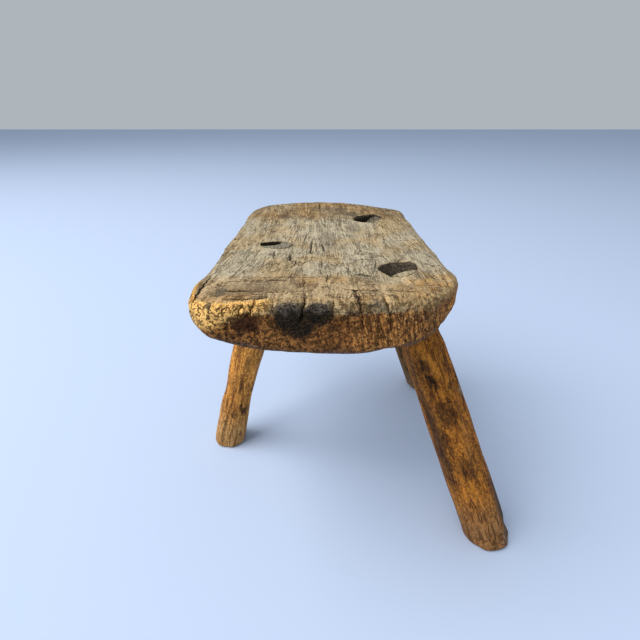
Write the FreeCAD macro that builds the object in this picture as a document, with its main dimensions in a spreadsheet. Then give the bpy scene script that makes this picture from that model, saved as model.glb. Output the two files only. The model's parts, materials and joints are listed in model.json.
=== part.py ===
import FreeCAD, Part
import math
import os

import Sketcher

# A low three-legged milking stool: a thick half-round slab of wood with a scooped top, bored
# through three times at a slant, and three shaved legs whose tenons are driven up the bores.
# The grain of the seat runs along Y. One leg stands on the -X side, two on the +X side.
# The stool stands on z = 0, and the origin is under the middle of everything it covers.

# Driving dimensions, in millimetres and degrees: alias, value, meaning.
SEAT_DIMENSIONS = [
    ("seat_near", 152.0, "seat centre to its near end, along -Y"),
    ("seat_far", 155.0, "seat centre to its far end, along +Y"),
    ("near_left", 100.0, "seat centre to the left side, at the near end"),
    ("near_right", 98.0, "seat centre to the right side, at the near end"),
    ("far_left", 94.0, "seat centre to the left side, at the far end"),
    ("far_right", 93.0, "seat centre to the right side, at the far end"),
    ("near_left_corner", 32.0, "radius of the near left corner, in plan"),
    ("near_right_corner", 85.0, "radius of the near right corner, in plan"),
    ("far_left_corner", 30.0, "radius of the far left corner, in plan"),
    ("far_right_corner", 24.0, "radius of the far right corner, in plan"),
    ("seat_top", 251.0, "height of the bottom of the scoop above the floor"),
    ("seat_ridge", 261.0, "height of the two end ridges above the floor"),
    ("seat_under", 209.0, "height of the lowest line of the underside"),
    ("ridge_shift", -12.0, "where the ridges are highest, across the seat"),
    ("ridge_bow", 470.0, "radius of the ridges across the seat"),
    ("scoop_bow", 980.0, "radius of the scoop along the seat"),
    ("under_bow", 340.0, "radius of the hewn underside across the seat"),
    ("under_sweep", 1750.0, "radius of the hewn underside along the seat"),
    ("top_round", 8.0, "radius worn on the upper edges"),
    ("under_round", 16.0, "radius of the lower edges"),
    ("mortise_radius", 14.4, "auger hole for each leg"),
]

# Each leg leaves the seat at (x, y), splays outward at an angle from the vertical, towards a
# bearing measured from +X to +Y. Its radii are at the floor, a third of the way up and under
# the seat. The tenon's end is sawn at end_tilt from square, recess below the scoop's bottom.
LEG_DIMENSIONS = {
    "leg_left": {"x": -50.3, "y": 1.5, "splay": 15.9, "bearing": 167.0, "foot": 18.0,
                 "waist": 15.6, "neck": 17.9, "end_tilt": 19.0, "recess": 1.5},
    "leg_right_front": {"x": 52.0, "y": -75.0, "splay": 22.7, "bearing": -21.9, "foot": 20.8,
                        "waist": 19.6, "neck": 18.0, "end_tilt": 0.0, "recess": -1.0},
    "leg_right_back": {"x": 45.0, "y": 91.5, "splay": 22.6, "bearing": 24.8, "foot": 19.6,
                       "waist": 19.0, "neck": 18.4, "end_tilt": 0.0, "recess": -3.0},
}
SHARED_LEG_DIMENSIONS = [
    ("tenon_gap", 0.1, "radial gap between a tenon and its mortise"),
    ("shoulder_drop", 67.0, "scoop's bottom to the start of the taper, along a leg"),
    ("tenon_drop", 47.0, "scoop's bottom to the start of the tenon, along a leg"),
    ("waist_drop", 170.0, "scoop's bottom to the waist, along a leg"),
    ("foot_round", 3.5, "radius worn on the rim of each foot"),
]

MARGIN = 30.0  # how far a cutting outline reaches past the wood
PLAN_REACH = 110.0  # half the width of the outlines that cut across the seat
LENGTH_REACH = 170.0  # half the length of the outlines that cut along the seat

doc = FreeCAD.newDocument("milking_stool")
sheet = doc.addObject("Spreadsheet::Sheet", "dims")
sheet_rows = 0
values = {}


def add_dimension(alias, value, meaning):
    """Put one plain number in the sheet, under its alias."""
    global sheet_rows
    sheet_rows += 1
    sheet.set("A%d" % sheet_rows, meaning)
    sheet.set("B%d" % sheet_rows, str(value))
    sheet.setAlias("B%d" % sheet_rows, alias)
    values[alias] = value


for row in SEAT_DIMENSIONS + SHARED_LEG_DIMENSIONS:
    add_dimension(*row)
for leg_name, leg_values in LEG_DIMENSIONS.items():
    for key, number in leg_values.items():
        add_dimension("%s_%s" % (leg_name, key), number, "%s of %s" % (key, leg_name))
# The seat's own centre, as seen from the origin: set once the feet's reach is known.
add_dimension("shift_x", 0.0, "seat centre from the origin, X")
add_dimension("shift_y", 0.0, "seat centre from the origin, Y")
doc.recompute()


def plane_of(body, role):
    """The body's own origin plane with this role."""
    for feature in body.Origin.OriginFeatures:
        if feature.Role == role:
            return feature
    raise ValueError(role)


def add_sketch(body, name, role):
    sketch = body.newObject("Sketcher::SketchObject", name)
    sketch.AttachmentSupport = [(plane_of(body, role), "")]
    sketch.MapMode = "FlatFace"
    return sketch


def bind(sketch, kind, elements, name, value, expression):
    """Add a named size to the sketch and tie it to the sheet."""
    index = sketch.addConstraint(Sketcher.Constraint(kind, *elements, value))
    sketch.renameConstraint(index, name)
    sketch.setExpression("Constraints." + name, expression)


def place_point(sketch, geometry, end, name, point, expression_u, expression_v):
    """Fix one end (1 or 2) or the centre (3) of an element from the sketch's origin."""
    bind(sketch, "DistanceX", (-1, 1, geometry, end), name + "U", point[0], expression_u)
    bind(sketch, "DistanceY", (-1, 1, geometry, end), name + "V", point[1], expression_v)


def add_polygon(sketch, points):
    """Closed outline of straight lines; line i runs from point i to point i + 1."""
    corners = [FreeCAD.Vector(u, v, 0) for u, v in points]
    lines = []
    for start, end in zip(corners, corners[1:] + corners[:1]):
        lines.append(sketch.addGeometry(Part.LineSegment(start, end), False))
    for line, following in zip(lines, lines[1:] + lines[:1]):
        sketch.addConstraint(Sketcher.Constraint("Coincident", line, 2, following, 1))
    return lines


def cut_through(body, sketch, name):
    """Pocket all the way through, both ways from the sketch."""
    before = body.Tip.Shape.Volume
    pocket = body.newObject("PartDesign::Pocket", name)
    pocket.Profile = sketch
    pocket.Type = "ThroughAll"
    pocket.SideType = "Symmetric"
    doc.recompute()
    if pocket.Shape.Volume > before - 1.0:
        raise RuntimeError(name + " cuts nothing")
    return pocket


def round_edges(body, name, edge_names, alias):
    base = body.Tip
    fillet = body.newObject("PartDesign::Fillet", name)
    fillet.Base = (base, edge_names)
    fillet.Radius = values[alias]
    fillet.setExpression("Radius", "dims." + alias)
    doc.recompute()
    return fillet


def edges_between(shape, lowest, highest):
    """Names of the edges that lie wholly between two heights."""
    names = []
    for index, edge in enumerate(shape.Edges, 1):
        if edge.BoundBox.ZMin >= lowest and edge.BoundBox.ZMax <= highest:
            names.append("Edge%d" % index)
    return names


# ---- The seat plank ----

seat = doc.addObject("PartDesign::Body", "seat_plank")
seat.Label = "seat_plank"
doc.recompute()

# Plan: four round corners joined by straight sides that are tangent to them. Each corner is
# given by the end and side it touches.
CORNERS = [
    ("NearLeft", "-dims.near_left", "-dims.seat_near", "near_left_corner", 180),
    ("NearRight", "dims.near_right", "-dims.seat_near", "near_right_corner", 270),
    ("FarRight", "dims.far_right", "dims.seat_far", "far_right_corner", 0),
    ("FarLeft", "-dims.far_left", "dims.seat_far", "far_left_corner", 90),
]


def corner_centre(corner):
    """Centre of a plan corner, as numbers and as expressions on the sheet."""
    _, side, end, radius_alias, _ = corner
    centre = []
    expressions = []
    for text in (side, end):
        sign = -1 if text.startswith("-") else 1
        number = sign * values[text.split(".")[1]]
        centre.append(number - sign * values[radius_alias])
        expressions.append("%s %s dims.%s" % (text, "+" if sign < 0 else "-", radius_alias))
    return centre, expressions


plan = add_sketch(seat, "seat_plan", "XY_Plane")
plan.setExpression("AttachmentOffset.Base.z", "dims.seat_under")
arcs = []
for corner in CORNERS:
    (u, v), _ = corner_centre(corner)
    circle = Part.Circle(FreeCAD.Vector(u, v, 0), FreeCAD.Vector(0, 0, 1), values[corner[3]])
    start = math.radians(corner[4])
    arcs.append(plan.addGeometry(Part.ArcOfCircle(circle, start, start + math.pi / 2), False))
for arc, following in zip(arcs, arcs[1:] + arcs[:1]):
    side_line = Part.LineSegment(plan.getPoint(arc, 2), plan.getPoint(following, 1))
    line = plan.addGeometry(side_line, False)
    plan.addConstraint(Sketcher.Constraint("Tangent", arc, 2, line, 1))
    plan.addConstraint(Sketcher.Constraint("Tangent", line, 2, following, 1))
for arc, corner in zip(arcs, CORNERS):
    centre, expressions = corner_centre(corner)
    place_point(plan, arc, 3, corner[0], centre, *expressions)
    bind(plan, "Radius", (arc,), corner[0] + "Round", values[corner[3]], "dims." + corner[3])
doc.recompute()

slab = seat.newObject("PartDesign::Pad", "slab")
slab.Profile = plan
slab.setExpression("Length", "dims.seat_ridge - dims.seat_under")
doc.recompute()


def add_bowed_waste(name, role, bow, centre, centre_terms, radius_alias, reach, level):
    """Outline of the wood outside one bowed surface: an arc closed by a straight line.

    bow is 1 where the arc is the top of its circle and -1 where it is the bottom. The arc
    spans reach to each side of the circle's centre, and level is the closing line's height.
    """
    sketch = add_sketch(seat, name, role)
    radius = values[radius_alias]
    half_angle = math.asin(reach / radius)
    middle = bow * math.pi / 2
    circle = Part.Circle(FreeCAD.Vector(*centre, 0), FreeCAD.Vector(0, 0, 1), radius)
    span = (middle - half_angle, middle + half_angle)
    arc = sketch.addGeometry(Part.ArcOfCircle(circle, *span), False)
    first = sketch.getPoint(arc, 1)
    last = sketch.getPoint(arc, 2)
    corners = [last, FreeCAD.Vector(last.x, level, 0), FreeCAD.Vector(first.x, level, 0), first]
    lines = []
    for start, end in zip(corners, corners[1:]):
        lines.append(sketch.addGeometry(Part.LineSegment(start, end), False))
    sketch.addConstraint([
        Sketcher.Constraint("Coincident", arc, 2, lines[0], 1),
        Sketcher.Constraint("Coincident", lines[0], 2, lines[1], 1),
        Sketcher.Constraint("Coincident", lines[1], 2, lines[2], 1),
        Sketcher.Constraint("Coincident", lines[2], 2, arc, 1),
        Sketcher.Constraint("Vertical", lines[0]),
        Sketcher.Constraint("Horizontal", lines[1]),
        Sketcher.Constraint("Vertical", lines[2]),
        Sketcher.Constraint("DistanceX", -1, 1, arc, 1, first.x),
        Sketcher.Constraint("DistanceX", -1, 1, arc, 2, last.x),
        Sketcher.Constraint("DistanceY", -1, 1, lines[1], 1, level),
    ])
    place_point(sketch, arc, 3, "Centre", centre, *centre_terms)
    bind(sketch, "Radius", (arc,), "Bow", radius, "dims." + radius_alias)
    doc.recompute()
    return sketch


# The end ridges are crowned across the seat.
crown = add_bowed_waste(
    "crown_waste", "XZ_Plane", 1,
    (values["ridge_shift"], values["seat_ridge"] - values["ridge_bow"]),
    ("dims.ridge_shift", "dims.seat_ridge - dims.ridge_bow"),
    "ridge_bow", PLAN_REACH, values["seat_ridge"] + MARGIN)
cut_through(seat, crown, "crown")

# The underside is hewn to a shallow bow both ways: an arc along the seat, turned about a line
# that runs along the seat above it.
hewn = add_bowed_waste(
    "hewn_waste", "YZ_Plane", -1,
    (0.0, values["seat_under"] + values["under_sweep"]),
    ("0", "dims.seat_under + dims.under_sweep"),
    "under_sweep", LENGTH_REACH, values["seat_under"] - MARGIN)
turn_height = values["seat_under"] + values["under_bow"]
turn_line = hewn.addGeometry(Part.LineSegment(
    FreeCAD.Vector(-LENGTH_REACH, turn_height, 0), FreeCAD.Vector(LENGTH_REACH, turn_height, 0)),
    True)
for end, name in ((1, "TurnNear"), (2, "TurnFar")):
    point = (LENGTH_REACH * (2 * end - 3), turn_height)
    place_point(hewn, turn_line, end, name, point, "%s" % point[0],
                "dims.seat_under + dims.under_bow")
doc.recompute()
uncut_volume = seat.Tip.Shape.Volume
underside = seat.newObject("PartDesign::Groove", "hewn_underside")
underside.Profile = hewn
underside.ReferenceAxis = (hewn, ["Axis0"])
underside.Angle = 2 * math.degrees(math.asin(PLAN_REACH / values["under_bow"]))
underside.Midplane = True
doc.recompute()
if underside.Shape.Volume > uncut_volume - 1.0:
    raise RuntimeError("hewn_underside cuts nothing")

# All round, the lower edges are hewn to a large radius and the upper ones are worn.
mid_height = (values["seat_top"] + values["seat_under"]) / 2
round_edges(seat, "lower_rounding",
            edges_between(seat.Tip.Shape, 0.0, mid_height), "under_round")
round_edges(seat, "upper_rounding",
            edges_between(seat.Tip.Shape, mid_height + 5.0, 2 * mid_height), "top_round")

# The top is scooped along its length.
scoop = add_bowed_waste(
    "scoop_waste", "YZ_Plane", -1,
    (0.0, values["seat_top"] + values["scoop_bow"]),
    ("0", "dims.seat_top + dims.scoop_bow"),
    "scoop_bow", LENGTH_REACH, values["seat_ridge"] + MARGIN)
cut_through(seat, scoop, "scoop")


def leg_pose(leg, x_shift, y_shift):
    """Expression for a frame on a leg: Z up its line, X on the side it splays to."""
    base = "vector(%s + dims.%s_x; %s + dims.%s_y; dims.seat_top)" % (x_shift, leg, y_shift, leg)
    turn = "rotationz(dims.%s_bearing) * rotationy(-dims.%s_splay)" % (leg, leg)
    return "placement(%s; %s)" % (base, turn)


# The three auger holes follow the lines of the legs.
for leg_name in LEG_DIMENSIONS:
    bore = add_sketch(seat, leg_name + "_bore", "XY_Plane")
    bore.setExpression("AttachmentOffset", leg_pose(leg_name, "0", "0"))
    ring = Part.Circle(FreeCAD.Vector(0, 0, 0), FreeCAD.Vector(0, 0, 1), values["mortise_radius"])
    circle_index = bore.addGeometry(ring, False)
    bore.addConstraint(Sketcher.Constraint("Coincident", circle_index, 3, -1, 1))
    bind(bore, "Radius", (circle_index,), "Bore", values["mortise_radius"],
         "dims.mortise_radius")
    doc.recompute()
    cut_through(seat, bore, leg_name + "_mortise")

seat.setExpression("Placement", "placement(vector(dims.shift_x; dims.shift_y; 0); rotationz(0))")


# ---- The legs ----

def term(leg, key):
    return "dims.%s_%s" % (leg, key)


def add_slant_cut(body, leg, name, height, height_term, tilt_key, side):
    """Saw the leg off along a line that slants by the tilt, at a height on its centre line.

    side is -1 to take off what is below the line and 1 to take off what is above it.
    """
    slope = math.tan(math.radians(values["%s_%s" % (leg, tilt_key)]))
    slope_term = "tan(%s)" % term(leg, tilt_key)
    reach = MARGIN
    outer = (reach, height - reach * slope)
    inner = (-reach, height + reach * slope)
    level = height + side * 2 * MARGIN
    level_term = "%s + %s" % (height_term, side * 2 * MARGIN)
    sketch = add_sketch(body, name + "_waste", "XZ_Plane")
    lines = add_polygon(sketch, [inner, outer, (reach, level), (-reach, level)])
    place_point(sketch, lines[0], 1, "Inner", inner, "-%s" % reach,
                "%s + %s * %s" % (height_term, reach, slope_term))
    place_point(sketch, lines[1], 1, "Outer", outer, "%s" % reach,
                "%s - %s * %s" % (height_term, reach, slope_term))
    place_point(sketch, lines[2], 1, "OuterEnd", (reach, level), "%s" % reach, level_term)
    place_point(sketch, lines[3], 1, "InnerEnd", (-reach, level), "-%s" % reach, level_term)
    doc.recompute()
    cut_through(body, sketch, name)


def build_leg(leg):
    """One leg, modelled up its own Z axis with the scoop's bottom at z = 0, then leaned."""
    body = doc.addObject("PartDesign::Body", leg)
    body.Label = leg
    doc.recompute()
    own = {key: values["%s_%s" % (leg, key)] for key in LEG_DIMENSIONS[leg]}
    splay = math.radians(own["splay"])
    tenon_radius = values["mortise_radius"] - values["tenon_gap"]
    tenon_term = "(dims.mortise_radius - dims.tenon_gap)"
    length = values["seat_top"] / math.cos(splay)
    length_term = "dims.seat_top / cos(%s)" % term(leg, "splay")

    # Half outline of the turned blank: foot, waist, neck, taper and tenon.
    outline = [
        (0.0, -length - MARGIN, "0", "-%s - %s" % (length_term, MARGIN)),
        (own["foot"], -length - MARGIN, term(leg, "foot"), "-%s - %s" % (length_term, MARGIN)),
        (own["foot"], -length, term(leg, "foot"), "-" + length_term),
        (own["waist"], -values["waist_drop"], term(leg, "waist"), "-dims.waist_drop"),
        (own["neck"], -values["shoulder_drop"], term(leg, "neck"), "-dims.shoulder_drop"),
        (tenon_radius, -values["tenon_drop"], tenon_term, "-dims.tenon_drop"),
        (tenon_radius, MARGIN, tenon_term, "%s" % MARGIN),
        (0.0, MARGIN, "0", "%s" % MARGIN),
    ]
    profile = add_sketch(body, leg + "_profile", "XZ_Plane")
    lines = add_polygon(profile, [(u, v) for u, v, _, _ in outline])
    for index, (u, v, u_term, v_term) in enumerate(outline):
        place_point(profile, lines[index], 1, "Point%d" % index, (u, v), u_term, v_term)
    doc.recompute()
    blank = body.newObject("PartDesign::Revolution", leg + "_blank")
    blank.Profile = profile
    blank.ReferenceAxis = (profile, ["V_Axis"])
    blank.Angle = 360.0
    doc.recompute()

    # The foot is sawn level with the floor.
    add_slant_cut(body, leg, leg + "_foot", -length, "-" + length_term, "splay", -1)

    # The tenon's end is sawn so that its highest edge is at the recess.
    tilt = math.radians(own["end_tilt"])
    rise = tenon_radius * abs(math.tan(splay) - math.tan(tilt))
    end_height = -own["recess"] / math.cos(splay) - rise
    end_term = "-%s / cos(%s) - %s * abs(tan(%s) - tan(%s))" % (
        term(leg, "recess"), term(leg, "splay"), tenon_term, term(leg, "splay"),
        term(leg, "end_tilt"))
    add_slant_cut(body, leg, leg + "_tenon_end", end_height, end_term, "end_tilt", 1)

    # The foot's rim is worn round.
    rim_top = -length + own["foot"] * math.tan(splay) + 1.0
    round_edges(body, leg + "_foot_rim",
                edges_between(body.Tip.Shape, -length - MARGIN, rim_top), "foot_round")
    body.setExpression("Placement", leg_pose(leg, "dims.shift_x", "dims.shift_y"))
    return body


bodies = [seat]
for leg_name in LEG_DIMENSIONS:
    bodies.append(build_leg(leg_name))
doc.recompute()


# ---- Centre the stool on its origin, check it and write it ----

reach = FreeCAD.BoundBox()
for body in bodies:
    reach.add(body.Shape.optimalBoundingBox(False, False))
for axis, centre in (("x", reach.Center.x), ("y", reach.Center.y)):
    cell = sheet.getCellFromAlias("shift_" + axis)
    sheet.set(cell, str(round(-centre, 4)))
doc.recompute()

for item in doc.Objects:
    if "Invalid" in item.State or "Error" in item.State:
        raise RuntimeError("%s failed: %s" % (item.Name, item.State))
os.makedirs("parts", exist_ok=True)
for body in bodies:
    shape = body.Shape
    if shape.isNull() or not shape.isValid() or len(shape.Solids) != 1:
        raise RuntimeError(body.Label + " is not one valid solid")
    shape.exportStep(os.path.join("parts", body.Label + ".step"))
    box = shape.optimalBoundingBox(False, False)
    print("%-16s volume %.0f mm3, x %.1f..%.1f, y %.1f..%.1f, z %.2f..%.2f" % (
        body.Label, shape.Volume, box.XMin, box.XMax, box.YMin, box.YMax, box.ZMin, box.ZMax))
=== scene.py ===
"""The looks of a low old milking stool: a scooped seat slab on three splayed legs, all weathered wood.

Lengths are in millimetres and colours are linear RGB. A place on the seat is measured from the floor under
the middle of the seat's box: x to the right, y away from the camera, z up. A place on a leg is measured from
its foot, to the right, towards the near side and up its axis, or is given as an angle and a height: degrees
round from the leg's near side towards +X, and millimetres up its axis. A pair of limits says where a change
starts and where it is whole.
"""
import json
import math

import bpy
import numpy as np
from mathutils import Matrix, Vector


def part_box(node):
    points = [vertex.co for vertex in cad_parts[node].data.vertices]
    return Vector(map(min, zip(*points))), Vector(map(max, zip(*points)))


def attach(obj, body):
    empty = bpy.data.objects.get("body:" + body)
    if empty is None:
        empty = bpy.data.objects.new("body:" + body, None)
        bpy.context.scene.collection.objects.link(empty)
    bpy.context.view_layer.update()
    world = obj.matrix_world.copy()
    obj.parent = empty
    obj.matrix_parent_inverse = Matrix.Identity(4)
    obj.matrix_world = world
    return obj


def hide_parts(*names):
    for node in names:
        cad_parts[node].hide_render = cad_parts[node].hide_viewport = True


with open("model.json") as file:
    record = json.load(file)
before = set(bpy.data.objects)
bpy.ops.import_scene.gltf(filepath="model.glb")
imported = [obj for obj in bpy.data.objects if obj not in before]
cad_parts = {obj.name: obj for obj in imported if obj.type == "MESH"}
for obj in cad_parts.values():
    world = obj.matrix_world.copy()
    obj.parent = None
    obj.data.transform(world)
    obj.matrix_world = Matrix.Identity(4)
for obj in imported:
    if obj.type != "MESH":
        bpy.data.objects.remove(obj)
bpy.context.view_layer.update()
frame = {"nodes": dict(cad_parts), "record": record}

MM = 0.001

# ---------------------------------------------------------------------------------------------------------
# Driving sizes

seat_low, seat_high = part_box("seat_plank")
SEAT_MIDDLE = Vector(((seat_low.x + seat_high.x) / 2, (seat_low.y + seat_high.y) / 2, 0)) / MM
SEAT_UNDER = seat_low.z / MM
SEAT_RIDGE = seat_high.z / MM
SEAT_END = (seat_high.y - seat_low.y) / 2 / MM

SEAT_VOXEL = 1.4
LEG_VOXEL = 1.1

CAMERA_PLACE = (-25.8, -394, 366)
CAMERA_DOWN = 26.4
CAMERA_LENS = 24.19
SENSOR = 36

FLOOR_SIZE = 16000
FLOOR_COLOUR = (0.5, 0.595, 0.79)
LAMP_PLACE = (-2200, -800, 3200)
LAMP_AIM = (0, 0, 200)
LAMP_SIZE = 3400
LAMP_WATTS = 192
LAMP_COLOUR = (1.0, 0.985, 0.95)
SKY_COLOUR = (0.85, 0.93, 1.0)
SKY_STRENGTH = 0.5

# ---------------------------------------------------------------------------------------------------------
# What time has done to the seat

# Limits round a leg's axis, across its hole's rim: the sculpting starts, the wall's painted shade ends, chips
# end
RIM_SCULPTED = (15.2, 17)
RIM_SHADE_PAINTED = (17, 15.5)
RIM_CHIPPED = (19, 15)
CHIPS_ABOVE = (245, 251)
CHIPS_RIGHT_OF = (-20, 0)

# How a crack lies: the direction that it grows along, and the direction across it
RUNS = {
    "over_near_edge": ((0, -1, -1), (1, 0, 0)),
    "with_grain": ((0, 1, 0), (1, 0, 0)),
    "cross_grain": ((1, 0, 0), (0, 1, 0)),
}
# The waves in a crack's line: how far it strays, radians for each millimetre, radians at the start
WAVES = [(0.35, 0.7, 0), (0.2, 1.9, 1)]
# The cracks over the near edge end between these heights.
CRACKED_ABOVE = (228, 234)
# A crack follows the surface: run, start, end, width, depth.
CRACKS = [
    ("over_near_edge", (14, -132, 260), (18, -153, 250), 1.1, 4.5),
    ("over_near_edge", (18, -153, 252), (19, -153, 240), 0.8, 1.5),
    ("over_near_edge", (-17, -145, 260), (-21, -153, 243), 0.9, 3.5),
    ("over_near_edge", (31, -141, 260), (36, -153, 250), 0.7, 2.5),
    ("over_near_edge", (36, -153, 252), (38, -153, 236), 0.5, 1.0),
    ("over_near_edge", (0, -149, 260), (-1, -153, 246), 0.6, 1.5),
    ("over_near_edge", (9, -152, 250), (10, -153, 236), 0.5, 1.0),
    ("over_near_edge", (28, -152, 249), (30, -153, 234), 0.5, 1.0),
    ("over_near_edge", (-49, -149, 260), (-53, -153, 247), 0.8, 3.0),
    ("over_near_edge", (-57, -151, 258), (-61, -153, 247), 0.9, 2.0),
    ("over_near_edge", (-66, -150, 256), (-71, -150, 247), 0.7, 1.5),
    ("over_near_edge", (-38, -150, 260), (-38, -153, 249), 0.6, 1.0),
    ("with_grain", (-33, -54, 252), (-35, -29, 252), 2.2, 1.8),
    ("with_grain", (-29, -70, 252), (-28, -52, 252), 1.4, 1.0),
    ("with_grain", (-48, -46, 252), (-49, -22, 252), 1.4, 1.0),
    ("with_grain", (-17, -34, 251), (-16, 14, 252), 1.7, 1.4),
    ("with_grain", (-4, -24, 251), (-7, 3, 251), 1.7, 1.4),
    ("with_grain", (-7, -78, 253), (-7, -46, 252), 1.2, 0.8),
    ("with_grain", (-4, -116, 258), (-3, -94, 256), 1.2, 0.8),
    ("with_grain", (-24, -6, 251), (-22, 40, 251), 0.9, 0.6),
    ("with_grain", (-9, 118, 259), (-9, 140, 261), 1.4, 1.0),
    ("with_grain", (33, -84, 255), (38, -52, 253), 1.2, 0.8),
    ("with_grain", (-20, -128, 259), (-19, -108, 257), 1.0, 0.7),
    ("cross_grain", (7, -132, 259), (32, -131, 259), 1.8, 1.4),
    ("cross_grain", (32, -131, 259), (60, -127, 259), 1.3, 0.5),
    ("cross_grain", (-73, -126, 257), (-54, -128, 258), 2.3, 1.4),
    ("cross_grain", (-66, -138, 258), (-18, -138, 260), 2.0, 1.2),
    ("cross_grain", (-64, -145, 258), (-40, -146, 259), 2.2, 1.4),
    ("cross_grain", (-82, -110, 256), (-32, -108, 256), 1.4, 0.6),
    ("cross_grain", (-60, -100, 256), (4, -99, 256), 1.3, 0.5),
    ("cross_grain", (-28, -45, 252), (-6, -45, 252), 1.8, 0.8),
    ("cross_grain", (-4, -37, 252), (8, -37, 252), 1.8, 0.8),
    ("cross_grain", (22, -49, 252), (35, -49, 252), 2.0, 1.0),
    ("cross_grain", (17, -92, 255), (31, -92, 255), 2.5, 1.2),
    ("with_grain", (-92.5, -142, 255), (-89.5, -92, 255), 1.6, 1.8),
    ("with_grain", (54, -60, 254), (62, -44, 253), 1.8, 1.8),
]

# Where the holes' rims have gone out of round: centre, half sizes, and how far away from the near end
RIM_WEAR = [
    ((60, -60, 254), (26, 20, 14), 5),
    ((70, -72, 254), (17, 22, 14), 10),
    ((-56, 15, 252), (25, 17, 14), -8),
    ((56, 86, 254), (16, 17, 14), 8),
    ((37, 106, 254), (23, 17, 14), -8),
]

# Where a rim is level with its tenon and is painted like the top, and where it stands clear of it and gets
# the wall's painted shade as a thin dark line: centre, half sizes
LEVEL_RIMS = [
    ((-60, -10, 250), (16, 16, 12)),
    ((-39, 10, 250), (12, 12, 12)),
]
CLEAR_SHADED_RIMS = [
    ((-40, -10, 250), (15, 12, 12)),
    ((61, 82, 254), (13, 12, 12)),
]
# The worn hollow in front of the right front hole: centre, half sizes, depth straight down
HOLLOW = ((46, -101, 256), (30, 22, 14), 5.2)

# Where the seat is worn away (below 0) or fuller (above 0): centre, half sizes, height
SWELLS = [
    ((-52, -130, 258), (46, 16, 10), -1.4),
    ((-95, -110, 248), (16, 28, 16), 2.6),
    ((95, -84, 252), (18, 28, 16), 2.6),
    ((82, 130, 252), (20, 24, 16), 2.6),
    ((66, -142, 258), (34, 14, 12), -2.2),
]
# The near end's lower edge is fuller between these heights, and most of all in one place.
LOWER_EDGE = (234, 222)
LOWER_EDGE_SWELL = 0.9
LOWER_EDGE_PLACE = ((66, -125, 218), (40, 50, 24), 3.2)

# centre, half sizes, colour, strength
SEAT_STAINS = [
    ((-56, -155, 243), (11, 12, 8), (0.062, 0.019, 0.006), 0.95),
    ((27, -151, 255), (8, 6, 4), (0.16, 0.13, 0.095), 0.7),
    ((14, -153, 251), (6, 6, 2), (0.08, 0.04, 0.018), 0.8),
    ((-1, 10, 251), (9, 34, 8), (0.22, 0.185, 0.14), 0.45),
    ((27, 52, 253), (7, 18, 8), (0.22, 0.185, 0.14), 0.5),
    ((-49, 95, 256), (9, 11, 8), (0.15, 0.11, 0.07), 0.65),
    ((25, 102, 255), (14, 8, 8), (0.14, 0.11, 0.075), 0.7),
    ((-20, 84, 255), (6, 7, 8), (0.2, 0.16, 0.11), 0.5),
    ((2, 118, 258), (26, 9, 8), (0.19, 0.14, 0.09), 0.6),
    ((74, 128, 258), (12, 4, 8), (0.1, 0.08, 0.055), 0.8),
    ((-76, -128, 256), (5, 9, 6), (0.15, 0.135, 0.1), 0.75),
    ((-80, -148, 255), (2.5, 4, 5), (0.09, 0.07, 0.045), 0.85),
    ((-58, -125, 257), (34, 14, 6), (0.3, 0.235, 0.15), 0.4),
]
# centre, half sizes
BURNS = [
    ((-27, -155, 247), (12, 13, 12)),
    ((-10, -155, 250), (11, 12, 8)),
    ((-21, -155, 241), (9, 11, 8)),
]

# ---------------------------------------------------------------------------------------------------------
# The seat's colours

# Pairs: the darkest and the lightest
TOP = ((0.22, 0.175, 0.112), (0.6, 0.515, 0.365))
EDGE = ((0.21, 0.12, 0.042), (0.68, 0.48, 0.24))
FACE = ((0.072, 0.026, 0.008), (0.46, 0.19, 0.048))
GOLDEN = ((0.41, 0.18, 0.045), (1.0, 0.6, 0.19))
UNDERSIDE = ((0.068, 0.034, 0.017), (0.22, 0.125, 0.073))
CHAR = ((0.005, 0.0035, 0.002), (0.048, 0.028, 0.012))
ASH = ((0.04, 0.031, 0.022), (0.21, 0.165, 0.118))
# The holes' walls: painted shade
WALL_SHADE_COLOURS = ((0.03, 0.023, 0.016), (0.135, 0.108, 0.078))
# Single colours
# Painted highlights on the end grain and sides
FLECK_HIGHLIGHT = (0.6, 0.36, 0.12)
FACE_LINE = (0.03, 0.012, 0.004)
LIP = (0.03, 0.014, 0.006)
# Painted shade in the pits
PIT_SHADE = (0.045, 0.018, 0.006)
# Painted shade in the cracks
CRACK_SHADE_COLOUR = (0.012, 0.008, 0.005)
# Tints, which multiply the colour that is there
PATCH_TINT = (1.0, 0.84, 0.62)
DISH_TINT = (1.0, 0.82, 0.62)
FAR_TINT = (0.86, 0.75, 0.62)
FAR_BLOT_TINT = (0.5, 0.43, 0.36)
NEAR_RIGHT_TINT = (1.12, 0.9, 0.6)
LINE_TINT = (0.28, 0.24, 0.2)
RIGHT_FACE_TINT = (1.9, 1.9, 1.85)
LEFT_SIDE_TINT = (0.75, 0.67, 0.52)
CUT_IN_TINT = (0.35, 0.26, 0.2)
WEAR_TINT = (1.25, 1.2, 1.1)

# Where the seat's colour changes
DISH_Y = (-86, -112)
FAR_Y = (76, 98)
NEAR_RIGHT_X = (40, 75)
NEAR_RIGHT_Y = (-70, -100)
RIGHT_FACE_X = (4, 26)
SOFT_BOUNDARY_X = (35, 70)
FACE_BELOW = 249.5
GOLDEN_X = (-34, -46)
GOLDEN_Y = (-95, -125)
EATEN_X = (-30, -60)
EATEN_Y = (-105, -135)
RIM_BELOW = (222, 214)
ASH_ABOVE = (248, 257)
LEFT_SIDE_Y = (-135, -115)

# The grain's lines stand closer by this share for each millimetre away from the near end.
FAN = 0.0012

# ---------------------------------------------------------------------------------------------------------
# Sculpting


def ramp(value, low, high):
    """0 before low, 1 after high and a smooth change between; high may be the smaller."""
    t = np.clip((value - low) / (high - low), 0, 1)
    return t * t * (3 - 2 * t)


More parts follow.
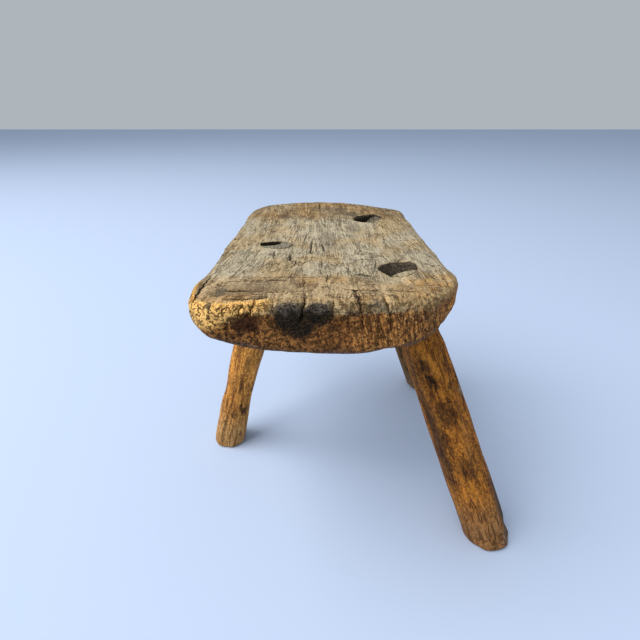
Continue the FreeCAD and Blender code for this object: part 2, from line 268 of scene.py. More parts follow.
def lattice(x, y, z, seed):
    """A repeatable number from 0 to 1 for each whole-number corner."""
    mixed = (x * 374761393 + y * 668265263 + z * 1103515245 + seed * 974634777) & 0xFFFFFFFF
    mixed = ((mixed ^ (mixed >> 13)) * 1274126177) & 0xFFFFFFFF
    return ((mixed ^ (mixed >> 16)) & 0xFFFF) / 0xFFFF


def noise(points, size, seed):
    """Smooth noise from -1 to 1 at each point; size is one lump's length along each axis."""
    scaled = points / np.array(size, float)
    cell = np.floor(scaled).astype(np.int64)
    t = scaled - cell
    t = t * t * (3 - 2 * t)
    total = np.zeros(len(points))
    for corner in np.ndindex(2, 2, 2):
        weight = np.prod(np.where(np.array(corner) == 1, t, 1 - t), axis=1)
        total += weight * lattice(*(cell + corner).T, seed)
    return 2 * total - 1


def waver(along):
    """How far a crack's line strays sideways."""
    return sum(reach * np.sin(rate * along + start) for reach, rate, start in WAVES)


def crack_line(run, start, end):
    """A crack's first and last places along its run, and its places across it there."""
    along, across = (Vector(v) for v in RUNS[run])
    start, end = Vector(start), Vector(end)
    return along.dot(start), along.dot(end), across.dot(start), across.dot(end)


def crack_cut(points, run, start, end, width, depth):
    """How deep a crack cuts at each point."""
    along, across = (points @ np.array(v, float) for v in RUNS[run])
    first, last, side, last_side = crack_line(run, start, end)
    t = np.clip((along - first) / (last - first), 0, 1)
    off = np.abs(across - side - (last_side - side) * t - waver(along))
    opening = np.sqrt(t * (1 - t)) * 2
    return depth * opening * ramp(off, SEAT_VOXEL + width / 2, 0)


def read_points(mesh):
    points = np.zeros(len(mesh.vertices) * 3)
    mesh.vertices.foreach_get("co", points)
    return points.reshape(-1, 3) / MM


class Leg:
    """One leg: where it stands, which way it points, how its shaft bows and how its tenon has shifted."""

    def __init__(self, side, bow, shift):
        self.side = side
        self.node = "leg_" + side
        mounts = {m["name"]: m["pos_m"] for m in frame["record"]["mounts"]}
        self.foot = Vector(mounts["foot_" + side]) / MM
        self.bow = bow
        self.shift = shift
        points = read_points(frame["nodes"][self.node].data)
        tenon_end = points[points[:, 2] > (SEAT_UNDER + SEAT_RIDGE) / 2]
        self.up = (Vector(tenon_end.mean(axis=0)) - self.foot).normalized()
        self.right = (Vector((1, 0, 0)) - self.up * self.up.x).normalized()
        self.near = self.right.cross(self.up)

    def own(self, points):
        """The points from the leg's foot: to the right, towards the near side and up its axis."""
        return (points - np.array(self.foot)) @ np.array([self.right, self.near, self.up]).T


LEGS = {
    "left": Leg("left", bow=-3.5, shift=2),
    "right_front": Leg("right_front", bow=0, shift=0),
    "right_back": Leg("right_back", bow=0, shift=0),
}


def from_bore(points):
    """Each point's distance from the nearest leg's axis; points are seat places."""
    whole = points + np.array(SEAT_MIDDLE)
    return np.min([np.hypot(*leg.own(whole).T[:2]) for leg in LEGS.values()], axis=0)


def bulge(points, centre, sizes):
    """1 in the middle of an ellipsoid, fading to 0 at its edge."""
    return ramp(np.linalg.norm((points - np.array(centre, float)) / np.array(sizes, float), axis=1), 1, 0)


def sculpt_seat(points, facing):
    """How far each point of the seat stands out of the CAD surface."""
    x, y, z = points.T
    top = ramp(facing[:, 2], 0.5, 0.9)
    under = ramp(-facing[:, 2], 0.5, 0.9)
    rim = np.clip(1 - top - under, 0, 1)
    near = ramp(-y, 95, 135)

    # Lumps everywhere, grain on the top with ripples across its near end, and a rougher rim
    out = -0.8 + 0.8 * noise(points, (48, 60, 40), 1) + 0.5 * noise(points, (19, 34, 18), 2)
    out += top * (0.25 * noise(points, (3.4, 55, 9), 3) + 0.14 * noise(points, (2.4, 16, 4), 4))
    out += top * near * 0.45 * noise(points, (40, 5, 9), 5)
    out += rim * (0.9 * noise(points, (15, 15, 9), 6) + 0.5 * noise(points, (5, 5, 5), 7))

    # The near end is pitted all over, the left corner most.
    pits = ramp(noise(points, (3.4, 3.4, 3.4), 8), 0.2, 0.7)
    rough = near * np.clip(rim * 0.6 + ramp(-x, 35, 75) * ramp(z, 259, 250), 0, 1)
    out -= 1.1 * rough * pits

    # The underside was hewn along the grain and left in shallow scallops.
    scallop = np.abs(noise(points, (26, 70, 30), 9)) + 0.3 * np.abs(noise(points, (11, 30, 30), 10))
    out -= under * 1.8 * (1 - scallop)

    centre, sizes, height = LOWER_EDGE_PLACE
    out += near * ramp(z, *LOWER_EDGE) * (LOWER_EDGE_SWELL + height * bulge(points, centre, sizes))
    for centre, sizes, height in SWELLS:
        out += height * bulge(points, centre, sizes)

    for run, start, end, width, depth in CRACKS:
        cut = crack_cut(points, run, start, end, width, depth)
        if run == "over_near_edge":
            cut *= ramp(z, *CRACKED_ABOVE)
        else:
            cut *= top
        out -= cut

    # The holes' walls are left alone.
    return out * np.where(top > 0.3, 1, ramp(from_bore(points), *RIM_SCULPTED))


def sunk(points):
    """How far each point of the seat has sunk straight down: chips and a hollow at the holes on the right."""
    chips = ramp(from_bore(points), *RIM_CHIPPED)
    chips *= ramp(points[:, 2], *CHIPS_ABOVE) * ramp(points[:, 0], *CHIPS_RIGHT_OF)
    chips *= 0.5 + 0.9 * noise(points, (5, 5, 5), 11)
    centre, sizes, depth = HOLLOW
    return chips + depth * bulge(points, centre, sizes)


def worn_back(points):
    """How far each point of the seat has gone away from the near end with its hole's rim."""
    return sum(way * bulge(points, centre, sizes) for centre, sizes, way in RIM_WEAR)


def turned(facing, share, direction, points, places):
    """The facing, turned in some places towards a direction, so that it is painted like what faces there."""
    inside = ramp(sum(bulge(points, centre, sizes) for centre, sizes in places), 0, 0.3)
    return facing + (share * inside)[:, None] * (np.array(direction) - facing)


def remeshed(node, voxel):
    """A new object with the CAD node's surface in even quads."""
    piece = bpy.data.objects.new(node + "_wood", frame["nodes"][node].data.copy())
    bpy.context.scene.collection.objects.link(piece)
    remesh = piece.modifiers.new("even", "REMESH")
    remesh.mode = "VOXEL"
    remesh.voxel_size = voxel * MM
    smooth = piece.modifiers.new("settle", "SMOOTH")
    smooth.factor = 0.5
    smooth.iterations = 2
    even = bpy.data.meshes.new_from_object(piece.evaluated_get(bpy.context.evaluated_depsgraph_get()))
    piece.modifiers.clear()
    piece.data = even
    even.materials.clear()
    even.shade_smooth()
    return piece


def read_facing(mesh):
    facing = np.zeros(len(mesh.vertices) * 3, np.float32)
    mesh.vertex_normals.foreach_get("vector", facing)
    return facing.reshape(-1, 3).astype(float)


def write_points(mesh, points):
    mesh.vertices.foreach_set("co", (points * MM).ravel())
    mesh.update()


def write_attribute(mesh, name, kind, field, values):
    attribute = mesh.attributes.new(name, kind, "POINT")
    attribute.data.foreach_set(field, values.astype(np.float32).ravel())


def make_seat():
    seat = remeshed("seat_plank", SEAT_VOXEL)
    middle = np.array(SEAT_MIDDLE)
    points = read_points(seat.data) - middle
    facing = read_facing(seat.data)
    out = sculpt_seat(points, facing)
    wall_shade_share = ramp(from_bore(points), *RIM_SHADE_PAINTED)
    # A level rim is painted like the top, and one that stands clear gets the wall's painted shade.
    painted_facing = turned(facing, wall_shade_share, (0, 0, 1), points, LEVEL_RIMS)
    painted_facing = turned(painted_facing, wall_shade_share, (0, -1, 0), points, CLEAR_SHADED_RIMS)
    write_attribute(seat.data, "facing", "FLOAT_VECTOR", "vector", painted_facing)
    write_attribute(seat.data, "out", "FLOAT", "value", out)
    write_attribute(seat.data, "wall_shade_share", "FLOAT", "value", wall_shade_share)
    points += facing * out[:, None] + np.array([0 * out, worn_back(points), -sunk(points)]).T
    points[:, 1] = np.clip(points[:, 1], -SEAT_END, SEAT_END)
    points[:, 2] = np.minimum(points[:, 2], SEAT_RIDGE)
    write_points(seat.data, points + middle)
    return seat


# ---------------------------------------------------------------------------------------------------------
# Legs

LEG_RADIUS = 18
LEG_FACETS = 7
# How deep into a leg a stain reaches
STAIN_DEPTH = 14
# The limits, up a leg, of its tenon end's paint, of its foot's worn paint and of its foot's wear;
# and the limits above the floor of its tenon end's shift
TENON_PAINTED = (235, 240)
FOOT_PAINTED = (75, 15)
FOOT_WORN = (24, 4)
TENON_SHIFTED = (236, 250)


def on_leg(angle, height, radius=LEG_RADIUS):
    """A place on a leg's surface in the leg's own directions."""
    turn = math.radians(angle)
    return (radius * math.sin(turn), radius * math.cos(turn), height)


# Where a leg is dented (depth above 0) or stands out (below 0): centre and half sizes in its own directions
LEG_DENTS = {
    "left": [((-8, -9, 258), (16, 11, 11), 7.0), (on_leg(-80, 80), (14, 16, 26), 1.1),
             (on_leg(18, 64), (7, 9, 9), 0.9)],
    "right_front": [(on_leg(-12, 182), (7, 10, 9), 1.0),
                    (on_leg(70, 5, 20), (9, 16, 16), 2.2), (on_leg(-60, 150), (12, 16, 40), 0.8)],
    "right_back": [((-9, -6, 270), (13, 14, 10), 4.0), ((8, 9, 270), (13, 11, 9), 2.5),
                    (on_leg(60, 120), (12, 16, 50), 0.8)],
}

# angle, height, (half width, half height), colour, strength; some stand partly for painted light and shade
LEG_STAINS_AND_PAINTED_LIGHT = {
    "left": [
        (25, 60, (5, 7), (0.035, 0.016, 0.006), 0.85),
        (8, 68, (2, 3.5), (0.025, 0.014, 0.006), 0.9),
        (-5, 55, (4, 5), (0.08, 0.035, 0.01), 0.7),
        (0, 130, (3, 14), (0.09, 0.04, 0.012), 0.5),
        (-8, 100, (2, 16), (0.09, 0.04, 0.012), 0.5),
        (50, 92, (5, 10), (0.08, 0.035, 0.01), 0.7),
        (-30, 30, (2, 30), (0.1, 0.045, 0.015), 0.6),
    ],
    "right_front": [
        (-14, 180, (4, 8), (0.03, 0.012, 0.004), 0.85),
        (-20, 198, (4, 7), (0.04, 0.015, 0.004), 0.8),
        (8, 163, (2, 5), (0.03, 0.012, 0.004), 0.75),
        (30, 172, (3, 4), (0.04, 0.015, 0.004), 0.7),
        (-5, 148, (10, 14), (0.075, 0.026, 0.006), 0.7),
        (-2, 92, (10, 14), (0.085, 0.03, 0.008), 0.7),
        # Orange streaks right of the middle: part the wood's colour, part painted highlight
        (24, 112, (6, 30), (0.62, 0.24, 0.04), 0.7),
        (20, 205, (12, 16), (0.64, 0.23, 0.028), 0.6),
        # A dark streak down the left side: part stain, part painted shade under the seat
        (-55, 120, (6, 60), (0.09, 0.04, 0.014), 0.7),
        (75, 40, (5, 36), (0.06, 0.03, 0.012), 0.7),
        (55, 4, (9, 4), (0.55, 0.4, 0.24), 0.8),
        (62, 163, (2.5, 6), (0.6, 0.44, 0.25), 0.9),
    ],
    "right_back": [
        (150, 90, (8, 14), (0.07, 0.03, 0.01), 0.8),
        (-120, 150, (6, 20), (0.08, 0.035, 0.012), 0.7),
    ],
}
LEG_LINE_TINT = (0.3, 0.24, 0.2)
LEG_CUT_IN_TINT = (0.4, 0.33, 0.28)
# Painted shade where a tenon's end has broken away
BROKEN_END_SHADE = (0.02, 0.016, 0.012)
# dark, light, worn-foot and tenon-end colours
LEG_COLOURS = {
    "left": ((0.2, 0.07, 0.012), (0.92, 0.4, 0.075), (0.47, 0.28, 0.11), (0.34, 0.3, 0.21)),
    "right_front": ((0.1, 0.033, 0.005), (0.66, 0.24, 0.026), (0.32, 0.17, 0.07), (0.55, 0.45, 0.29)),
    # The right back leg's tenon end is painted darker than the others, as painted shade in its hole
    "right_back": ((0.08, 0.034, 0.01), (0.36, 0.185, 0.055), (0.26, 0.17, 0.09), (0.22, 0.19, 0.135)),
}


def sculpt_leg(points, leg, seed):
    """How far each point of a leg stands out of the CAD surface."""
    own = leg.own(points)
    height = own[:, 2]
    angle = np.arctan2(own[:, 0], own[:, 1])
    body = ramp(points[:, 2], SEAT_UNDER + 6, SEAT_UNDER - 10)
    lumps = 0.55 * noise(own, (17, 17, 34), seed) + 0.3 * noise(own, (7, 7, 15), seed + 1)
    facets = 0.35 * np.cos(LEG_FACETS * angle + 1.5 * np.sin(height / 45 + seed))
    grain = 0.16 * noise(own, (2.6, 2.6, 42), seed + 2)
    worn = ramp(height, *FOOT_WORN) * 0.8 * noise(own, (8, 8, 8), seed + 3)
    dents = sum(depth * bulge(own, centre, sizes) for centre, sizes, depth in LEG_DENTS[leg.side])
    return body * (lumps + facets + grain + worn - 0.3) - dents


def make_leg(leg, seed):
    piece = remeshed(leg.node, LEG_VOXEL)
    points = read_points(piece.data)
    facing = read_facing(piece.data)
    out = sculpt_leg(points, leg, seed)
    write_attribute(piece.data, "facing", "FLOAT_VECTOR", "vector", facing)
    write_attribute(piece.data, "out", "FLOAT", "value", out)
    points += facing * out[:, None]
    points[:, 0] += leg.bow * np.sin(math.pi * np.clip(points[:, 2] / SEAT_UNDER, 0, 1))
    points[:, 1] += leg.shift * ramp(points[:, 2], *TENON_SHIFTED)
    points[:, 2] = np.maximum(points[:, 2], 0)
    write_points(piece.data, points)
    return piece


# ---------------------------------------------------------------------------------------------------------
# Materials


class Paint:
    """One material as it is put together. A value is a number, a tuple or another node's output."""

    def __init__(self, name):
        self.material = bpy.data.materials.new(name)
        self.material.use_nodes = True
        self.nodes = self.material.node_tree.nodes
        self.links = self.material.node_tree.links
        self.surface = self.nodes["Principled BSDF"]

    def put(self, socket, value):
        if isinstance(value, bpy.types.NodeSocket):
            self.links.new(value, socket)
        elif socket.type == "RGBA":
            socket.default_value = (*value, 1)
        else:
            socket.default_value = value

    def math(self, operation, *values, clamp=False):
        node = self.nodes.new("ShaderNodeMath")
        node.operation = operation
        node.use_clamp = clamp
        for socket, value in zip(node.inputs, values):
            self.put(socket, value)
        return node.outputs[0]

    def vector(self, operation, *values):
        node = self.nodes.new("ShaderNodeVectorMath")
        node.operation = operation
        for socket, value in zip(node.inputs, values):
            self.put(socket, value)
        return node.outputs["Value" if operation in ("LENGTH", "DOT_PRODUCT") else "Vector"]

    def object_place(self):
        return self.nodes.new("ShaderNodeTexCoord").outputs["Object"]

    def attribute(self, name, output):
        node = self.nodes.new("ShaderNodeAttribute")
        node.attribute_name = name
        return node.outputs[output]

    def split(self, vector):
        node = self.nodes.new("ShaderNodeSeparateXYZ")
        self.put(node.inputs[0], vector)
        return node.outputs

    def join(self, x, y, z):
        node = self.nodes.new("ShaderNodeCombineXYZ")
        for socket, value in zip(node.inputs, (x, y, z)):
            self.put(socket, value)
        return node.outputs[0]

    def noise(self, place, size, detail, roughness=0.55, output="Fac"):
        """Noise around 0.5; size is one lump's length along each axis."""
        node = self.nodes.new("ShaderNodeTexNoise")
        self.put(node.inputs["Vector"], self.vector("DIVIDE", place, size))
        node.inputs["Scale"].default_value = 1
        node.inputs["Detail"].default_value = detail
        node.inputs["Roughness"].default_value = roughness
        return node.outputs[output]

    def ramp(self, value, low, high, first=0, last=1):
        """first before low, last after high and a smooth change between; high may be the smaller."""
        node = self.nodes.new("ShaderNodeMapRange")
        node.interpolation_type = "SMOOTHSTEP"
        for name, number in zip(("Value", "From Min", "From Max", "To Min", "To Max"),
                                (value, low, high, first, last)):
            self.put(node.inputs[name], number)
        return node.outputs[0]

    def mix(self, share, first, second, blend="MIX"):
        node = self.nodes.new("ShaderNodeMix")
        node.data_type = "RGBA"
        node.blend_type = blend
        sockets = [s for s in node.inputs if s.type == "RGBA"]
        self.put(node.inputs[0], share)
        self.put(sockets[0], first)
        self.put(sockets[1], second)
        return next(s for s in node.outputs if s.type == "RGBA")

    def tint(self, share, colour, by):
        return self.mix(share, colour, by, "MULTIPLY")

    def shade(self, value, low, high, dark, light):
        """dark where the value is low, light where it is high"""
        return self.mix(self.ramp(value, low, high), dark, light)

    def times(self, *values):
        product = values[0]
        for value in values[1:]:
            product = self.math("MULTIPLY", product, value)
        return product

    def total(self, *values):
        result = values[0]
        for value in values[1:]:
            result = self.math("ADD", result, value)
        return result

    def most(self, values):
        result = values[0]
        for value in values[1:]:
            result = self.math("MAXIMUM", result, value)
        return result

    def blob(self, place, centre, sizes, inner, outer):
        """1 inside an ellipsoid and 0 outside, with a soft edge."""
        away = self.vector("DIVIDE", self.vector("SUBTRACT", place, centre), sizes)
        return self.ramp(self.vector("LENGTH", away), outer, inner)

    def lines(self, place, size, width, detail):
        """1 on thin winding lines; size is the room between them along each axis."""
        off = self.math("ABSOLUTE", self.math("SUBTRACT", self.noise(place, size, detail), 0.5))
        return self.ramp(off, width, 0.4 * width)

    def stray(self, place, noise, reach):
        """The place, moved by coloured noise; reach is the whole range along each axis."""
        back = tuple(-r / 2 for r in reach)
        return self.vector("ADD", place, self.vector("MULTIPLY_ADD", noise, reach, back))

    def finish(self, colour, roughness, specular, relief, depth):
        """Joins all to the surface; depth is what a change of relief from 0 to 1 stands for."""
        node = self.nodes.new("ShaderNodeBump")
        node.inputs["Distance"].default_value = depth * MM
        node.inputs["Strength"].default_value = 1
        self.put(node.inputs["Height"], relief)
        self.put(self.surface.inputs["Normal"], node.outputs[0])
        self.put(self.surface.inputs["Base Color"], colour)
        self.put(self.surface.inputs["Roughness"], roughness)
        self.surface.inputs["Specular IOR Level"].default_value = specular
        return self.material


def paint_crack_shade(paint, place, top):
    """1 in a crack's painted shade and 0 outside it."""
    height = paint.split(place)[2]
    region = {
        "over_near_edge": paint.ramp(height, *CRACKED_ABOVE),
        "with_grain": top,
        "cross_grain": top,
    }
    crack_shades = []
    for run, directions in RUNS.items():
        along, across = (paint.vector("DOT_PRODUCT", place, v) for v in directions)
        strayed = across
        for reach, rate, begin in WAVES:
            wave = paint.math("SINE", paint.math("MULTIPLY_ADD", along, rate, begin))
            strayed = paint.math("MULTIPLY_ADD", wave, -reach, strayed)
        run_crack_shades = []
        for name, start, end, width, depth in CRACKS:
            if name != run:
                continue
            first, last, begin_side, end_side = crack_line(run, start, end)
            t = paint.math("DIVIDE", paint.math("SUBTRACT", along, first), last - first, clamp=True)
            line = paint.math("MULTIPLY_ADD", t, end_side - begin_side, begin_side)
            off = paint.math("ABSOLUTE", paint.math("SUBTRACT", strayed, line))
            opening = paint.math("SQRT", paint.math("MULTIPLY", t, paint.math("SUBTRACT", 1, t)))
            room = paint.math("MULTIPLY_ADD", opening, width, paint.math("MULTIPLY", off, -1))
            crack_shade = paint.math("MULTIPLY", room, 1 / (0.35 * width), clamp=True)
            # A shallow crack's painted shade is paler.
            run_crack_shades.append(paint.math("MULTIPLY", crack_shade, min(1, 0.6 + depth / 3)))
        crack_shades.append(paint.math("MULTIPLY", paint.most(run_crack_shades), region[run]))
    return paint.most(crack_shades)


def stain_pair(light):
    """A stain's darkest and lightest colours."""
    return tuple(0.4 * c for c in light), light


def seat_wood():
    """Old weathered wood, with painted shade in its holes, cracks and pits and painted highlights on its
    sides and ends; the piece's "facing" holds the directions that it faced before the sculpting.
    """
    paint = Paint("seat_wood")
    middle = tuple(-SEAT_MIDDLE)
    place = paint.vector("MULTIPLY_ADD", paint.object_place(), (1 / MM,) * 3, middle)
    x, y, z = paint.split(place)
    facing_x, _, facing_z = paint.split(paint.attribute("facing", "Vector"))
    out = paint.attribute("out", "Fac")

    # The grain fans out a little towards the near end.
    fan = paint.math("MULTIPLY_ADD", y, FAN, 1)
    grain_place = paint.join(paint.times(x, fan), y, z)
    upright_place = paint.join(paint.math("MULTIPLY_ADD", z, 0.25, x), y, z)
    streaks = paint.noise(grain_place, (1.5, 22, 5), detail=3, roughness=0.6)
    bands = paint.noise(grain_place, (7, 60, 12), detail=3)
    patches = paint.noise(place, (34, 40, 24), detail=3)
    speckle = paint.noise(place, (1.4, 1.4, 1.4), detail=2, roughness=0.7)
    crumbs = paint.noise(place, (3, 3, 3), detail=3, roughness=0.7)
    lumps = paint.noise(place, (11, 11, 8), detail=3, roughness=0.65)
    here_and_there = paint.ramp(paint.noise(place, (13, 24, 13), detail=2), 0.44, 0.56)
    hairs = paint.times(paint.lines(grain_place, (3.2, 30, 9), 0.05, 2), here_and_there)
    checks = paint.times(paint.lines(grain_place, (9, 34, 20), 0.022, 3), paint.ramp(lumps, 0.46, 0.56))
    cross_checks = paint.lines(place, (42, 5, 12), 0.03, 3)
    upright_hairs = paint.lines(upright_place, (3.6, 3.6, 26), 0.05, 2)
    worms = paint.times(paint.lines(place, (4.6, 4.6, 4.6), 0.06, 3), paint.ramp(crumbs, 0.56, 0.46))
    ragged = paint.noise(place, (5, 5, 5), detail=3, roughness=0.6, output="Color")
    ragged_place = paint.stray(place, ragged, (14, 14, 14))
    smoky_place = paint.stray(place, ragged, (5, 5, 5))
    ragged_x, ragged_y, ragged_z = paint.split(ragged_place)

    # Top: grey-tan, streaked along the grain, with dark hair lines; browner towards both ends
    mottle = paint.total(paint.times(streaks, 0.3), paint.times(bands, 0.2), paint.times(speckle, 0.5))
    colour = paint.shade(mottle, 0.38, 0.62, *TOP)
    colour = paint.tint(paint.ramp(patches, 0.42, 0.62, 0, 0.75), colour, PATCH_TINT)
    dish = paint.ramp(ragged_y, *DISH_Y)
    colour = paint.tint(paint.times(dish, 0.8), colour, DISH_TINT)
    far = paint.ramp(ragged_y, *FAR_Y)
    colour = paint.tint(paint.times(far, 0.85), colour, FAR_TINT)
    colour = paint.tint(paint.times(far, paint.ramp(lumps, 0.54, 0.44), 0.6), colour, FAR_BLOT_TINT)
    near_right = paint.times(paint.ramp(ragged_x, *NEAR_RIGHT_X), paint.ramp(ragged_y, *NEAR_RIGHT_Y))
    colour = paint.tint(paint.times(near_right, paint.ramp(lumps, 0.4, 0.6)), colour, NEAR_RIGHT_TINT)
    long_lines = paint.most([paint.times(hairs, 0.6), paint.times(checks, 0.85),
                             paint.times(dish, cross_checks, here_and_there, 0.9)])
    colour = paint.tint(long_lines, colour, LINE_TINT)

    # The worn edge all round: warm tan
    edge = paint.ramp(facing_z, 0.96, 0.8)
    edge_colour = paint.shade(crumbs, 0.36, 0.62, *EDGE)
    colour = paint.mix(paint.times(edge, 0.8), colour, edge_colour)

    # The end grain and the sides: orange-brown, streaked upright on the ends and lengthwise on the sides
    lengthwise = paint.ramp(paint.math("ABSOLUTE", facing_x), 0.6, 0.85)
    side_lines = paint.most([paint.times(lengthwise, hairs),
                             paint.times(paint.ramp(x, -10, 35), paint.ramp(lengthwise, 1, 0), upright_hairs),
                             paint.times(worms, 0.7)])
    upright = paint.noise(upright_place, (1.6, 1.6, 13), detail=3, roughness=0.6)
    face_streak = paint.mix(lengthwise, upright, streaks)
    face_mottle = paint.total(paint.times(speckle, 0.35), paint.times(crumbs, 0.15), paint.times(lumps, 0.2),
                              paint.times(face_streak, 0.3))
    face_colour = paint.shade(face_mottle, 0.38, 0.62, *FACE)
    # Pale gold flecks: painted highlights of small lit ridges, more of them towards the right
    highlight_flecks = paint.ramp(paint.noise(place, (1.5, 1.5, 1.8), detail=1), 0.6, 0.7)
    face_colour = paint.mix(paint.times(highlight_flecks, paint.ramp(x, 0, 50, 0.25, 0.7)), face_colour, FLECK_HIGHLIGHT)
    face_colour = paint.tint(paint.ramp(x, *RIGHT_FACE_X, 0, 0.85), face_colour, RIGHT_FACE_TINT)
    face_colour = paint.mix(paint.times(side_lines, 0.75), face_colour, FACE_LINE)
    right_share = paint.ramp(x, *SOFT_BOUNDARY_X)
    boundary = paint.math("MULTIPLY_ADD", right_share, -2, FACE_BELOW)
    side = paint.ramp(facing_z, 0.8, 0.5)
    uneven_z = paint.math("MULTIPLY_ADD", ragged_z, 0.5, paint.times(z, 0.5))
    drop = paint.math("SUBTRACT", uneven_z, boundary)
    softness = paint.math("MULTIPLY_ADD", right_share, 7, 1.2)
    orange = paint.ramp(paint.math("DIVIDE", drop, softness), 1, -1)
    colour = paint.mix(paint.times(side, orange), colour, face_colour)
    # A dark broken line where they begin
    lip = paint.times(paint.ramp(paint.math("ABSOLUTE", drop), 1.3, 0.3), paint.ramp(right_share, 1, 0.2))
    colour = paint.mix(paint.times(lip, side, paint.ramp(crumbs, 0.55, 0.45), 0.8), colour, LIP)

    # The near left corner: golden and eaten into winding pits, which are painted dark as their shade
    golden_drop = paint.math("SUBTRACT", uneven_z, paint.math("MULTIPLY_ADD", x, 0.35, 267))
    uneven_facing = paint.math("MULTIPLY_ADD", paint.math("SUBTRACT", crumbs, 0.5), 0.25, facing_z)
    golden = paint.times(paint.ramp(ragged_x, *GOLDEN_X), paint.ramp(uneven_facing, 0.97, 0.87),
                         paint.ramp(y, *GOLDEN_Y), paint.ramp(golden_drop, -4, 4))
    colour = paint.mix(golden, colour, paint.shade(face_mottle, 0.36, 0.58, *GOLDEN))
    eaten = paint.times(paint.ramp(y, *EATEN_Y), paint.ramp(facing_z, 0.9, 0.6),
                        paint.ramp(x, *EATEN_X, 0.35, 1))
    pits = paint.times(eaten, worms)
    colour = paint.mix(paint.times(pits, 0.85), colour, PIT_SHADE)

    # The lower rim and the underside: dull brown
    under_mottle = paint.total(paint.times(streaks, 0.4), paint.times(speckle, 0.6))
    under_colour = paint.shade(under_mottle, 0.36, 0.62, *UNDERSIDE)
    rim = paint.times(paint.ramp(ragged_z, *RIM_BELOW), 0.8)
    colour = paint.mix(paint.most([rim, paint.ramp(facing_z, -0.3, -0.7)]), colour, under_colour)

    # The left side is duller, apart from its near end.
    left_side = paint.times(paint.ramp(facing_x, -0.1, -0.6), paint.ramp(y, *LEFT_SIDE_Y))
    colour = paint.tint(left_side, colour, LEFT_SIDE_TINT)

    for centre, sizes, stain, strength in SEAT_STAINS:
        share = paint.times(paint.blob(ragged_place, centre, sizes, 0.6, 1.2), strength)
        colour = paint.mix(share, colour, paint.shade(face_mottle, 0.38, 0.6, *stain_pair(stain)))

    # The burn: black, and ashen at its top
    burn = paint.most([paint.blob(smoky_place, centre, sizes, 0.7, 1.3) for centre, sizes in BURNS])
    char = paint.shade(speckle, 0.4, 0.65, *CHAR)
    ash = paint.shade(speckle, 0.36, 0.64, *ASH)
    colour = paint.mix(burn, colour, paint.mix(paint.ramp(ragged_z, *ASH_ABOVE), char, ash))

    # Darker in whatever is cut in, wear on whatever stands out
    colour = paint.tint(paint.ramp(out, -1.2, -2.8, 0, 0.5), colour, CUT_IN_TINT)
    colour = paint.tint(paint.times(paint.ramp(out, -0.3, 0.6), 0.25), colour, WEAR_TINT)
    # Painted shade in the cracks, paler where they are shallow
    crack_shades = paint_crack_shade(paint, place, paint.ramp(facing_z, 0.3, 0.6))
    colour = paint.mix(crack_shades, colour, CRACK_SHADE_COLOUR)
    # The holes' walls: painted shade
    wall_shade = paint.times(paint.attribute("wall_shade_share", "Fac"), paint.ramp(facing_z, 0.9, 0.6))
    colour = paint.mix(wall_shade, colour, paint.shade(speckle, 0.38, 0.62, *WALL_SHADE_COLOURS))

    relief = paint.total(paint.times(streaks, 0.5), paint.times(speckle, 0.6), paint.times(crumbs, 0.6),
                         paint.times(pits, -0.9), paint.times(crack_shades, -1.5), paint.times(long_lines, -0.6),
                         paint.times(side, side_lines, -0.4))
    return paint.finish(colour, paint.ramp(speckle, 0.3, 0.7, 0.72, 0.92), 0.12, relief, 1.5)


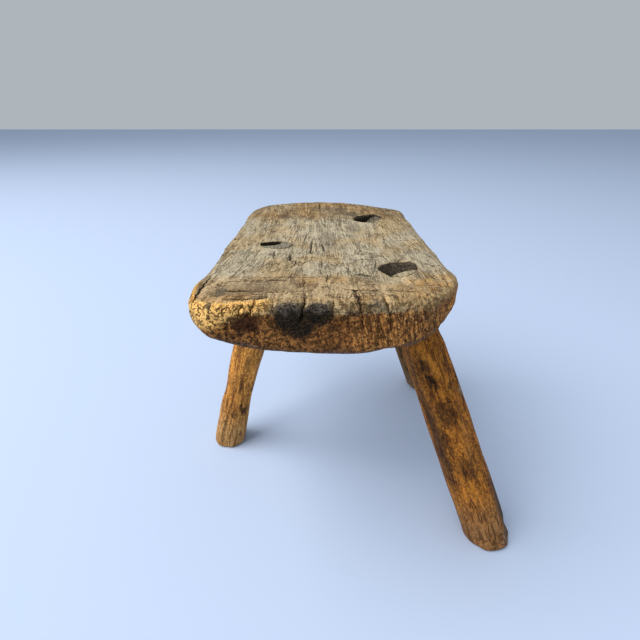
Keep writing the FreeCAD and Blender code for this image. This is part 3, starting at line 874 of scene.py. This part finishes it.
def leg_wood(leg, dark, light, worn, end, stains_and_painted_light, seed):
    """A shaved leg: long streaks, fine lines and stained patches, some standing partly for painted light and
    shade, a worn foot and an end-grain top with painted shade where it has broken away.
    """
    paint = Paint(leg.node + "_wood")
    from_foot = paint.vector("MULTIPLY_ADD", paint.object_place(), (1 / MM,) * 3, tuple(-leg.foot))
    own = [paint.vector("DOT_PRODUCT", from_foot, tuple(v)) for v in (leg.right, leg.near, leg.up)]
    here = paint.join(*own)
    place = paint.vector("ADD", here, (50 * seed, 0, 0))
    streaks = paint.noise(place, (2.2, 2.2, 30), detail=3, roughness=0.6)
    bands = paint.noise(place, (6, 6, 40), detail=3, roughness=0.6)
    patches = paint.noise(place, (15, 15, 34), detail=3)
    crumbs = paint.noise(place, (2.6, 2.6, 4), detail=3, roughness=0.7)
    speckle = paint.noise(place, (1.2, 1.2, 2), detail=2, roughness=0.7)
    here_and_there = paint.ramp(paint.noise(place, (9, 9, 16), detail=2), 0.42, 0.56)
    hairs = paint.times(paint.lines(place, (4.2, 4.2, 34), 0.045, 2), here_and_there)
    scuffs = paint.times(paint.lines(place, (4.4, 4.4, 6), 0.05, 3), paint.ramp(here_and_there, 1, 0))
    mottle = paint.total(paint.times(streaks, 0.2), paint.times(bands, 0.25), paint.times(patches, 0.2),
                         paint.times(speckle, 0.35))
    colour = paint.shade(mottle, 0.39, 0.6, dark, light)
    low = paint.times(paint.ramp(own[2], *FOOT_PAINTED), paint.ramp(mottle, 0.4, 0.52))
    colour = paint.mix(paint.times(low, 0.75), colour, worn)
    ragged = paint.noise(place, (4, 4, 10), detail=3, output="Color")
    ragged_place = paint.stray(here, ragged, (9, 9, 24))
    for angle, height, (wide, tall), stain, strength in stains_and_painted_light:
        blob = paint.blob(ragged_place, on_leg(angle, height), (wide, STAIN_DEPTH, tall), 0.5, 1.2)
        stained = paint.shade(mottle, 0.4, 0.58, *stain_pair(stain))
        colour = paint.mix(paint.times(blob, strength), colour, stained)
    fine_lines = paint.most([paint.times(hairs, 0.8), paint.times(scuffs, 0.6)])
    colour = paint.tint(fine_lines, colour, LEG_LINE_TINT)
    out = paint.attribute("out", "Fac")
    # Darker in whatever is cut in
    colour = paint.tint(paint.ramp(out, -0.3, -1.6, 0, 0.6), colour, LEG_CUT_IN_TINT)

    facing = paint.attribute("facing", "Vector")
    sawn = paint.ramp(paint.vector("DOT_PRODUCT", facing, tuple(leg.up)), 0.75, 0.9)
    end_colour = paint.shade(paint.noise(place, (1.2, 14, 9), detail=3), 0.35, 0.65, *stain_pair(end))
    # Where the end has broken away into a slot, it is painted nearly black as the slot's shade.
    end_colour = paint.mix(paint.ramp(out, -1.8, -3.5), end_colour, BROKEN_END_SHADE)
    colour = paint.mix(paint.most([sawn, paint.ramp(own[2], *TENON_PAINTED)]), colour, end_colour)

    relief = paint.total(paint.times(streaks, 0.5), paint.times(speckle, 0.45), paint.times(crumbs, 0.5),
                         paint.times(fine_lines, -0.7))
    return paint.finish(colour, paint.ramp(speckle, 0.3, 0.7, 0.55, 0.8), 0.15, relief, 1.2)


# ---------------------------------------------------------------------------------------------------------
# The stool


def settle(piece, node, material):
    """Gives a piece its material and its place in the frame."""
    piece.data.materials.append(material)
    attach(piece, "root")
    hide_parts(node)


settle(make_seat(), "seat_plank", seat_wood())

for seed, (side, leg) in enumerate(LEGS.items(), 1):
    settle(make_leg(leg, 10 * seed), leg.node,
           leg_wood(leg, *LEG_COLOURS[side], LEG_STAINS_AND_PAINTED_LIGHT[side], seed))

# ---------------------------------------------------------------------------------------------------------
# Floor, light and camera


def make_floor():
    half = FLOOR_SIZE / 2 * MM
    mesh = bpy.data.meshes.new("floor")
    corners = [(-half, -half, 0), (half, -half, 0), (half, half, 0), (-half, half, 0)]
    mesh.from_pydata(corners, [], [(0, 1, 2, 3)])
    floor = bpy.data.objects.new("floor", mesh)
    bpy.context.scene.collection.objects.link(floor)
    paint = Paint("floor")
    paint.surface.inputs["Base Color"].default_value = (*FLOOR_COLOUR, 1)
    paint.surface.inputs["Roughness"].default_value = 0.9
    paint.surface.inputs["Specular IOR Level"].default_value = 0.2
    mesh.materials.append(paint.material)


def make_lamp():
    """A soft square lamp that looks at the seat."""
    data = bpy.data.lights.new("key", "AREA")
    data.size = LAMP_SIZE * MM
    data.energy = LAMP_WATTS
    data.color = LAMP_COLOUR
    lamp = bpy.data.objects.new("key", data)
    lamp.location = Vector(LAMP_PLACE) * MM
    aim = Vector(LAMP_AIM) * MM - lamp.location
    lamp.rotation_euler = aim.to_track_quat("-Z", "Y").to_euler()
    bpy.context.scene.collection.objects.link(lamp)


def make_sky():
    world = bpy.data.worlds.new("sky")
    world.use_nodes = True
    background = world.node_tree.nodes["Background"]
    background.inputs["Color"].default_value = (*SKY_COLOUR, 1)
    background.inputs["Strength"].default_value = SKY_STRENGTH
    bpy.context.scene.world = world


def make_camera():
    data = bpy.data.cameras.new("camera")
    data.lens = CAMERA_LENS
    data.sensor_width = SENSOR
    camera = bpy.data.objects.new("camera", data)
    camera.location = Vector(CAMERA_PLACE) * MM
    camera.rotation_euler = (math.radians(90 - CAMERA_DOWN), 0, 0)
    bpy.context.scene.collection.objects.link(camera)
    bpy.context.scene.camera = camera


make_floor()
make_lamp()
make_sky()
make_camera()
bpy.context.scene.view_settings.view_transform = "Standard"
